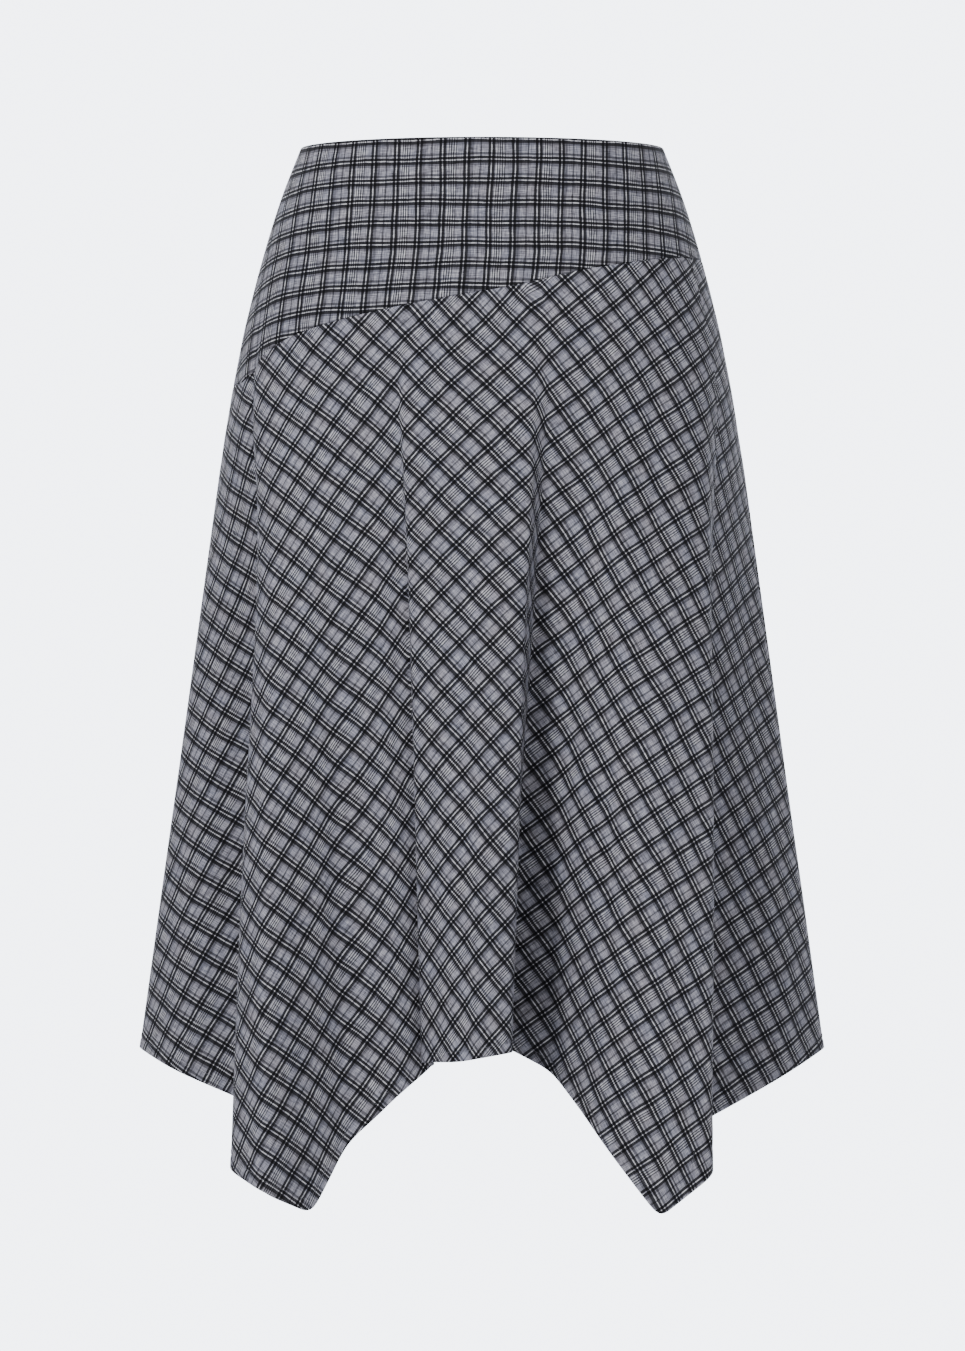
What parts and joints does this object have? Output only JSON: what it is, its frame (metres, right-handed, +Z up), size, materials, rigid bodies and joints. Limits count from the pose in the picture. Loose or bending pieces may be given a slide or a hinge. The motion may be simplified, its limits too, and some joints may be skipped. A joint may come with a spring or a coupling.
{
  "type": "skirt",
  "caption": "Worn knee-to-midi check skirt: straight-grain hip yoke with a slanting seam, flared bias lower part in soft folds, handkerchief hem.",
  "frame": {"origin": "middle of the waist opening, at the height of the side seams' top ends, where the wearer holds the skirt up", "axes": "+Z up, -Y the front, +X the wearer's left, which is the right of a picture of the front"},
  "size_m": [0.5133, 0.3914, 0.7767],
  "materials": {
    "yoke_cloth": "matte woven check, straight grain",
    "skirt_cloth": "matte woven check, bias grain"
  },
  "bodies": {
    "root": {"yoke_front": "yoke_cloth", "yoke_back": "yoke_cloth", "skirt_front": "skirt_cloth", "skirt_back": "skirt_cloth"}
  },
  "joints": []
}
